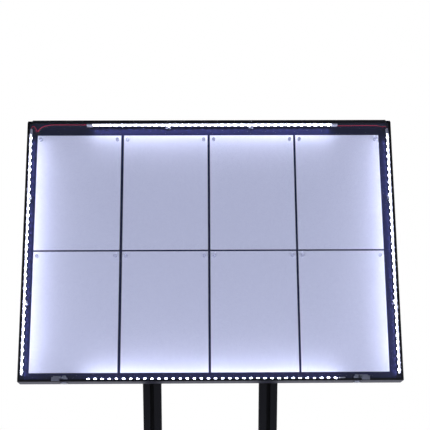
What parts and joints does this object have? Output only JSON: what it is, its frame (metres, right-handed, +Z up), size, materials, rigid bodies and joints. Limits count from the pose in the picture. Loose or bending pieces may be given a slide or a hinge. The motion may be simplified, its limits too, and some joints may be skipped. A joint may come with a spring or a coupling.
{
  "type": "illuminated menu display case",
  "caption": "free-standing leaning display case lit from all edges, with paper sheets under magnets, a clear top-hinged door with cam locks, grooved posts and a base plate",
  "frame": {"origin": "on the floor, under the middle of the base plate", "axes": "+Z up, -Y towards the viewer, +X to the viewer's right"},
  "size_m": [0.906, 0.46, 1.4342],
  "materials": {
    "black_anodised_aluminium": "satin black anodised extrusion",
    "black_coated_steel": "satin black powder coat on sheet steel",
    "zinc_plated_steel": "bright zinc plate",
    "cast_aluminium": "plain cast",
    "black_nylon": "moulded",
    "clear_nylon": "clear moulded",
    "led_tape_white": "white solder mask",
    "led_emitter": "lit diode lens",
    "menu_paper": "white coated paper",
    "clear_polycarbonate": "clear polycarbonate sheet",
    "black_rubber": "extruded",
    "red_wire": "PVC insulation",
    "black_wire": "PVC insulation"
  },
  "bodies": {
    "stand": {"frame_top": "black_anodised_aluminium", "frame_bottom": "black_anodised_aluminium", "frame_left": "black_anodised_aluminium", "frame_right": "black_anodised_aluminium", "corner_keys": "cast_aluminium", "corner_screws": "zinc_plated_steel", "panel_clips": "clear_nylon", "clip_screws": "zinc_plated_steel", "back_panel": "black_coated_steel", "grommet": "black_rubber", "rear_cover": "black_coated_steel", "rear_cover_screws": "zinc_plated_steel", "lower_mount_rail": "black_anodised_aluminium", "upper_mount_rail": "black_anodised_aluminium", "mount_rail_screws": "zinc_plated_steel", "led_tape_top": "led_tape_white", "led_tape_bottom": "led_tape_white", "led_tape_left": "led_tape_white", "led_tape_right": "led_tape_white", "leds": "led_emitter", "tape_connectors": "led_tape_white", "menu_sheets_upper": "menu_paper", "menu_sheets_lower": "menu_paper", "sheet_magnets": "clear_nylon", "door_gasket": "black_rubber", "hinge_case_leaf": "black_coated_steel", "hinge_pin": "zinc_plated_steel", "hinge_screws": "zinc_plated_steel", "lock_barrel_left": "zinc_plated_steel", "lock_barrel_right": "zinc_plated_steel", "wires_red": "red_wire", "wires_black": "black_wire", "driver_housing": "black_coated_steel", "housing_screws": "zinc_plated_steel", "cable_gland": "black_nylon", "led_driver": "cast_aluminium", "tilt_bracket_left": "black_coated_steel", "tilt_bracket_right": "black_coated_steel", "bracket_bolts": "zinc_plated_steel", "foot_brackets": "black_coated_steel", "foot_bolts": "zinc_plated_steel", "slot_nuts": "zinc_plated_steel", "post_left": "black_anodised_aluminium", "post_right": "black_anodised_aluminium", "post_caps": "black_nylon", "base_plate": "black_coated_steel", "rubber_feet": "black_rubber"},
    "door": {"door_pane": "clear_polycarbonate", "door_trim_top": "black_anodised_aluminium", "door_trim_bottom": "black_anodised_aluminium", "door_trim_left": "black_anodised_aluminium", "door_trim_right": "black_anodised_aluminium", "keepers": "zinc_plated_steel", "keeper_plates": "zinc_plated_steel", "keeper_rivets": "zinc_plated_steel", "hinge_door_leaf": "black_coated_steel"},
    "lock_left": {"lock_plug_left": "zinc_plated_steel", "lock_cam_left": "zinc_plated_steel"},
    "lock_right": {"lock_plug_right": "zinc_plated_steel", "lock_cam_right": "zinc_plated_steel"}
  },
  "joints": [
    {"name": "door_hinge", "type": "hinge", "parent": "stand", "child": "door", "pos_m": [0, 0.13748, 1.43182], "axis": [-1, 0, 0], "range_deg": [0, 95]},
    {"name": "left_lock_turn", "type": "hinge", "parent": "stand", "child": "lock_left", "pos_m": [-0.346, -0.16018, 0.87067], "axis": [0, -0.5, -0.866], "range_deg": [0, 90]},
    {"name": "right_lock_turn", "type": "hinge", "parent": "stand", "child": "lock_right", "pos_m": [0.346, -0.16018, 0.87067], "axis": [0, 0.5, 0.866], "range_deg": [0, 90]}
  ]
}
